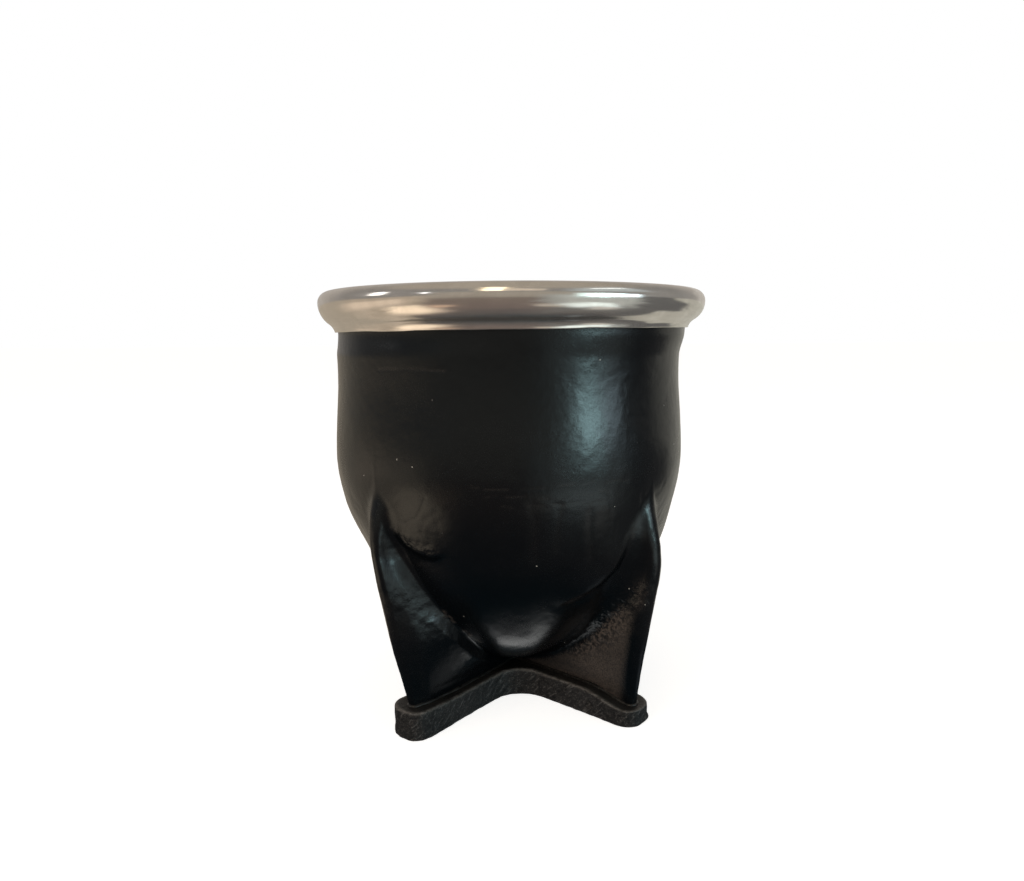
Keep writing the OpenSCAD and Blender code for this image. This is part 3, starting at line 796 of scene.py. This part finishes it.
dry = maths(tree, "SUBTRACT", between(tree, layers, 0.3, 0.7, 0.62, 0.48), times(tree, on_top, 0.14))
rough_side = raised(tree, drag, 0.14, 0.6, raised(tree, layers, 0.15, 0.5))
lay_finish(tree, shader, sole_colour, dry, raised(tree, fluff, 0.08, 0.5, rough_side))
shader.inputs["Specular IOR Level"].default_value = 0.35

sole = mesh_piece("cross_sole_cut", sole_points, sole_faces, cut_sole_leather)
paint(sole, "run", np.tile(edge_run * mm, len(sole_lines)))
paint(sole, "rub", np.concatenate(rub_rows))
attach(sole, "root")
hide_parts("cross_sole")

# Sole cement: black contact cement brushed on both faces and pressed out when they were joined.
# The surplus dried as an uneven dark bead round the feet of the fins.
cement_r = 0.6
# Height and share of the bead's width of each line from the sole up to the leather
bead_lines = ((-0.02, 0.9), (0.1, 1.0), (0.2, 0.85), (0.32, 0.5), (0.42, 0.1), (0.5, -0.5))
foot_line = skin[:ring_n, :2]
foot_way = np.roll(foot_line, -1, 0) - np.roll(foot_line, 1, 0)
foot_out = np.stack([foot_way[:, 1], -foot_way[:, 0]], 1)
foot_out /= np.linalg.norm(foot_out, axis=1, keepdims=True) + 1e-9
foot_flat = np.column_stack([foot_line, np.zeros(ring_n)])
squeeze = np.clip(0.5 + 0.5 * lumps(foot_flat, 5, 19) + 0.3 * lumps(foot_flat, 1.8, 20), 0, 1)
bead_rows = []
for lift, share in bead_lines:
    reach = cement_r * (0.3 + 0.7 * squeeze) * share
    bead_rows.append(np.column_stack([foot_line + foot_out * reach[:, None],
                                      sole_t - sag(foot_line) + lift * (0.8 + 0.4 * squeeze)]))
bead_ends = [[0, 0, sole_t + bead_lines[0][0]], [0, 0, sole_t + bead_lines[-1][0]]]
bead_points = np.concatenate(bead_rows + [bead_ends])
n_bead = len(bead_rows) * ring_n
bead_faces = strip_faces(len(bead_rows), ring_n)
bead_faces += fan_faces(n_bead, 0, ring_n, False)
bead_faces += fan_faces(n_bead + 1, n_bead - ring_n, ring_n, True)

wet_black, dry_black = (0.004, 0.004, 0.004, 1), (0.011, 0.010, 0.009, 1)
dried_cement, tree, shader = new_finish("dried_cement")
blob = grain(tree, where(tree), 1.2, 3.0)
black = blend(tree, between(tree, blob, 0.3, 0.7), wet_black, dry_black)
lay_finish(tree, shader, black, between(tree, blob, 0.3, 0.7, 0.26, 0.45), raised(tree, blob, 0.12, 0.6))

cement = mesh_piece("cement_bead", bead_points, bead_faces, dried_cement)
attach(cement, "root")
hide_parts("sole_cement")

# The stage: a pale floor that runs into a white surround, with only a soft shadow round the foot.
# Reflections see a dimmer room, and on the floor painted glowing pools of light and dark that no lamp casts:
# warm to the left, dark in front, cool to the right.
floor_r = 6.0
floor_mesh = bpy.data.meshes.new("pale_floor")
floor_corners = [(x * floor_r, y * floor_r, 0) for x, y in ((-1, -1), (1, -1), (1, 1), (-1, 1))]
floor_mesh.from_pydata(floor_corners, [], [(0, 1, 2, 3)])
floor = bpy.data.objects.new("pale_floor", floor_mesh)
bpy.context.scene.collection.objects.link(floor)
pale, tree, shader = new_finish("pale_floor")
shader.inputs["Base Color"].default_value = (0.6, 0.6, 0.6, 1)
shader.inputs["Roughness"].default_value = 0.9
shader.inputs["Specular IOR Level"].default_value = 0.0
shader.inputs["Emission Color"].default_value = (1, 1, 1, 1)
rays = put(tree, "LightPath").outputs
tree.links.new(times(tree, rays["Is Camera Ray"], 0.80), shader.inputs["Emission Strength"])


def vectors(tree, operation, a, b):
    return put(tree, "VectorMath", {0: a, 1: b}, operation=operation).outputs[0]


def patch(tree, place, x, y, wide, deep, inner):
    """A soft oval patch of the floor: 1 inside, 0 outside."""
    off = put(tree, "Mapping", {"Vector": place, "Location": (-x / wide, -y / deep, 0),
                                "Scale": (1 / wide, 1 / deep, 1)}).outputs[0]
    return between(tree, length(tree, off), 1.0, inner)


# The painted pools on the floor have ragged outlines away from the cup
place = put(tree, "TexCoord").outputs["Object"]
ragged = put(tree, "TexNoise", {"Vector": place, "Scale": 18.0, "Detail": 4.0, "Roughness": 0.6})
ragged = vectors(tree, "SUBTRACT", ragged.outputs["Color"], (0.5, 0.5, 0.5))
ragged = vectors(tree, "MULTIPLY", ragged, between(tree, length(tree, place), 0.06, 0.14, 0.0, 0.10))
place = vectors(tree, "ADD", place, vectors(tree, "MULTIPLY", ragged, (1, 1, 0)))
flat = put(tree, "SeparateXYZ", {"Vector": place}).outputs
out = length(tree, place)
heading = maths(tree, "ARCTAN2", flat[0], times(tree, flat[1], -1.0))
patchy = between(tree, grain(tree, place, 90.0, 3.0, 0.6, 0.5), 0.3, 0.7)
beyond_foot = between(tree, out, 0.05, 0.09)
# A painted pool of warm light lies on the left, strongest in one patch near the cup and again further out
warm_start = between(tree, heading, -1.2, -1.6, 0.080, 0.045)
to_left = times(tree, between(tree, heading, -0.74, -1.02),
                between(tree, maths(tree, "DIVIDE", out, warm_start), 1.0, 1.15))
far_left = times(tree, between(tree, out, 0.19, 0.28), between(tree, out, 0.75, 0.5))
painted_warm_pool = blend(tree, patchy, (0.40, 0.33, 0.25, 1), (0.60, 0.50, 0.39, 1))
# A painted pool of cool window light lies on the floor on the right; beyond it a painted dark stretch, then
# painted light again
to_right = times(tree, between(tree, heading, 0.12, 0.42), between(tree, out, 0.055, 0.095))
painted_window_pool = blend(tree, patchy, (0.42, 0.43, 0.41, 1), (0.58, 0.60, 0.57, 1))
past_dark = maths(tree, "SUBTRACT", heading, between(tree, out, 0.09, 0.25, 1.62, 2.0))
past_dark = maths(tree, "ADD", past_dark, between(tree, out, 0.45, 1.0, 0.0, 0.25))
painted_back_pool = blend(tree, patchy, (0.46, 0.44, 0.38, 1), (0.62, 0.60, 0.53, 1))
painted_floor_light = layered(tree, (0.02, 0.034, 0.042, 1), [
    (between(tree, out, 0.036, 0.075), (0.10, 0.085, 0.085, 1)),
    (between(tree, out, 0.075, 0.12), (0.16, 0.12, 0.108, 1)),
    (between(tree, out, 0.12, 0.25), (0.18, 0.138, 0.118, 1)),
    (between(tree, out, 0.3, 0.75), (0.36, 0.32, 0.27, 1)),
    (to_left, painted_warm_pool),
    (times(tree, far_left, between(tree, heading, -0.95, -1.2)), (0.88, 0.71, 0.55, 1)),
    (patch(tree, place, -0.122, -0.064, 0.075, 0.055, 0.35), (1.5, 1.2, 0.9, 1)),
    (patch(tree, place, -0.101, -0.125, 0.040, 0.030, 0.2), (0.70, 0.48, 0.34, 1)),
    (between(tree, heading, -1.7, -2.1), (0.45, 0.39, 0.31, 1)),
    (to_right, (0.16, 0.155, 0.15, 1)),
    (times(tree, to_right, between(tree, out, 0.13, 0.19)), painted_window_pool),
    (patch(tree, place, 0.046, -0.142, 0.045, 0.034, 0.2), (0.60, 0.53, 0.45, 1)),
    (patch(tree, place, 0.112, -0.122, 0.066, 0.062, 0.45), (1.35, 1.5, 1.48, 1)),
    (patch(tree, place, 0.090, -0.070, 0.025, 0.02, 0.3), (0.75, 0.70, 0.64, 1)),
    (times(tree, between(tree, heading, 1.12, 1.32), beyond_foot), (0.12, 0.115, 0.115, 1)),
    (times(tree, between(tree, past_dark, -0.06, 0.1), beyond_foot), painted_back_pool),
    # Painted light on the floor beside the front right arm of the sole and between the two front arms
    (patch(tree, place, 0.041, -0.025, 0.010, 0.009, 0.3), (0.20, 0.22, 0.24, 1)),
    (patch(tree, place, 0.003, -0.0215, 0.020, 0.0075, 0.4), (0.22, 0.22, 0.22, 1))])
# Only reflections see this painted glow; the camera sees the plain pale floor
glow = put(tree, "Emission", {"Color": painted_floor_light}).outputs[0]
mixed = put(tree, "MixShader", {0: rays["Is Glossy Ray"], 1: shader.outputs[0], 2: glow})
tree.links.new(mixed.outputs[0], tree.nodes["Material Output"].inputs["Surface"])
floor_mesh.materials.append(pale)

room = bpy.data.worlds.new("white_room")
room.use_nodes = True
bpy.context.scene.world = room
tree = room.node_tree
white = tree.nodes["Background"]
white.inputs["Color"].default_value = (1, 1, 1, 1)
rays = put(tree, "LightPath").outputs
way = put(tree, "SeparateXYZ", {"Vector": put(tree, "TexCoord").outputs["Generated"]}).outputs
front_wall = times(tree, between(tree, way[1], -0.5, -0.85), between(tree, way[2], 0.45, 0.25))
cool_corner = times(tree, between(tree, way[0], 0.35, 0.6), between(tree, way[1], 0.05, -0.15))
cool_corner = times(tree, cool_corner, between(tree, way[2], 0.3, 0.48))
air = layered(tree, (0.25, 0.24, 0.235, 1), [
    (between(tree, way[0], 0.75, 0.95), (0.29, 0.275, 0.265, 1)),
    (between(tree, way[1], 0.3, 0.9), (0.48, 0.44, 0.40, 1)),
    (front_wall, (0.38, 0.34, 0.29, 1)),
    (cool_corner, (0.56, 0.62, 0.64, 1)),
    (between(tree, way[2], 0.6, 0.9), (0.42, 0.37, 0.31, 1))])
dim_room = put(tree, "Background", {"Color": air}).outputs[0]
sky = put(tree, "MixShader", {0: rays["Is Camera Ray"], 1: dim_room, 2: white.outputs[0]})
tree.links.new(sky.outputs[0], tree.nodes["World Output"].inputs["Surface"])

aim = Vector((0, 0, 0.065))
glint_spread, glint_lift = math.radians(76), 0.0005


def lamp(name, shape, wide, deep, radiance, colour):
    """A lamp with a flat face of the given radiance, out of the camera's sight."""
    area = wide * deep * (math.pi / 4 if shape == "ELLIPSE" else 1)
    light = bpy.data.lights.new(name, "AREA")
    light.shape = shape
    light.size, light.size_y = wide, deep
    light.energy = radiance * area * math.pi
    light.color = colour
    holder = bpy.data.objects.new(name, light)
    holder.visible_camera = False
    bpy.context.scene.collection.objects.link(holder)
    return holder


def soft_box(name, bearing_deg, rise_deg, distance, wide, tall, radiance, colour, mirrored=True):
    box = lamp(name, "RECTANGLE", wide, tall, radiance, colour)
    b, e = math.radians(bearing_deg), math.radians(rise_deg)
    way = Vector((math.sin(b) * math.cos(e), -math.cos(b) * math.cos(e), math.sin(e)))
    box.location = aim + way * distance
    box.rotation_mode = "QUATERNION"
    box.rotation_quaternion = way.to_track_quat("Z", "Y")
    box.visible_glossy = mirrored


def floor_glint(name, x, y, wide, deep, radiance, colour):
    """A spot of light on the floor that shines almost straight up."""
    glint = lamp(name, "ELLIPSE", wide, deep, radiance, colour)
    glint.data.spread = glint_spread
    glint.location = (x, y, glint_lift)
    glint.rotation_euler = (math.pi, 0, 0)


soft_box("cool_window", 47, 2, 0.8, 0.17, 0.14, 9.5, (0.66, 1.0, 1.03))
soft_box("window_wall", 46, 2, 0.85, 0.42, 0.30, 1.3, (0.74, 0.98, 1.02))
soft_box("cool_side", 62, 3, 0.8, 0.22, 0.12, 4.0, (0.80, 1.0, 1.12))
soft_box("warm_fill", -48, 9, 0.8, 0.5, 0.2, 11.0, (1.0, 0.86, 0.74), mirrored=False)
soft_box("back_right", 145, 9, 0.9, 0.5, 0.30, 0.12, (1.0, 0.97, 0.90))
soft_box("warm_front_top", -2, 36, 0.9, 0.5, 0.28, 0.5, (1.0, 0.80, 0.58))
soft_box("left_bulb", -83, 22, 0.6, 0.10, 0.18, 3.0, (1.0, 0.97, 0.95))
soft_box("second_bulb", -50, 19, 0.6, 0.045, 0.09, 2.4, (0.92, 0.95, 1.0))
soft_box("warm_bulb", -13, 42, 0.6, 0.10, 0.34, 2.4, (1.0, 0.80, 0.52))
soft_box("cool_strip", 62, 44, 0.7, 0.24, 0.04, 2.0, (0.92, 0.98, 1.0))
# Light comes back from the floor between the two front arms of the sole
floor_glint("glint_left", -0.0085, -0.0215, 0.008, 0.004, 0.10, (1.0, 1.0, 1.0))
floor_glint("glint_middle", 0.0005, -0.0184, 0.016, 0.0055, 0.42, (1.0, 0.99, 0.97))
floor_glint("glint_right", 0.0098, -0.0214, 0.009, 0.0065, 0.26, (1.0, 1.0, 0.97))

# Camera: where the photo was taken from, level with the rim and close to the cup.
camera_turn, camera_pitch, camera_roll = math.radians(-3), 0.143, -0.0063
camera_back, camera_high = 0.1732, 0.0842
photo_wide_px, focal_px = 1024, 736.3
film_wide = 36.0
level = Vector((-math.sin(camera_turn), math.cos(camera_turn), 0))
ahead = level * math.cos(camera_pitch) - Vector((0, 0, math.sin(camera_pitch)))
right = ahead.cross(Vector((0, 0, 1))).normalized()
over = right.cross(ahead)
tilted_right = right * math.cos(camera_roll) + over * math.sin(camera_roll)
tilted_over = over * math.cos(camera_roll) - right * math.sin(camera_roll)
eye = bpy.data.objects.new("camera", bpy.data.cameras.new("camera"))
eye.data.sensor_width = film_wide
eye.data.lens = film_wide * focal_px / photo_wide_px
eye.data.clip_start = 0.01
turned_to = Matrix((tilted_right, tilted_over, -ahead)).transposed().to_4x4()
eye.matrix_world = Matrix.Translation(-level * camera_back + Vector((0, 0, camera_high))) @ turned_to
bpy.context.scene.collection.objects.link(eye)
bpy.context.scene.camera = eye
bpy.context.scene.view_settings.view_transform = "Standard"
